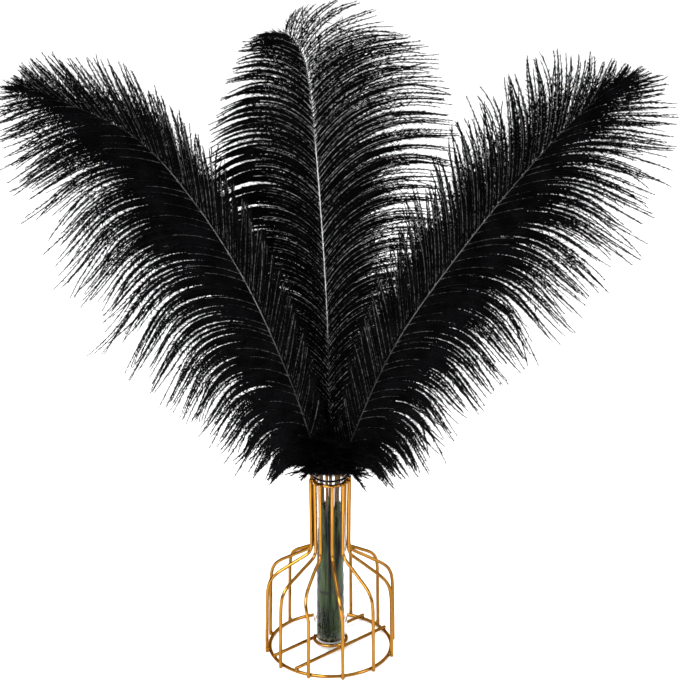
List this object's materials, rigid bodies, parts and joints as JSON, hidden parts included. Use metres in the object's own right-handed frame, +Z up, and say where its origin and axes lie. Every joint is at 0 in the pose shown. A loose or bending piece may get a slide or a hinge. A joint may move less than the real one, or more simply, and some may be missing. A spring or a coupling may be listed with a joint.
{
  "type": "ostrich feather arrangement",
  "caption": "Black ostrich plumes fanned out of a slim glass tube that stands in a gold wire bottle-shaped holder.",
  "frame": {"origin": "on the floor under the middle of the outer box; the holder's own axis stands about 8 mm to the -X side of it", "axes": "+Z up, +X across the fan of feathers to the viewer's right, +Y from the viewer to the back, through the fan's thin direction"},
  "size_m": [0.6138, 0.1284, 0.6324],
  "materials": {
    "gold_wire": "polished gold plating",
    "clear_glass": "clear",
    "green_tape": "matt florist's tape",
    "black_feather": "soft, silky"
  },
  "bodies": {
    "root": {"base_ring": "gold_wire", "neck_ring": "gold_wire", "tube_seat_ring": "gold_wire", "cross_bar_front": "gold_wire", "cross_bar_back": "gold_wire", "wire_01": "gold_wire", "wire_02": "gold_wire", "wire_03": "gold_wire", "wire_04": "gold_wire", "wire_05": "gold_wire", "wire_06": "gold_wire", "wire_07": "gold_wire", "wire_08": "gold_wire", "wire_09": "gold_wire", "wire_10": "gold_wire", "wire_11": "gold_wire", "wire_12": "gold_wire", "glass_tube": "clear_glass", "stem_left": "green_tape", "stem_center": "green_tape", "stem_right": "green_tape", "feather_left": "black_feather", "feather_center": "black_feather", "feather_right": "black_feather"}
  },
  "joints": []
}
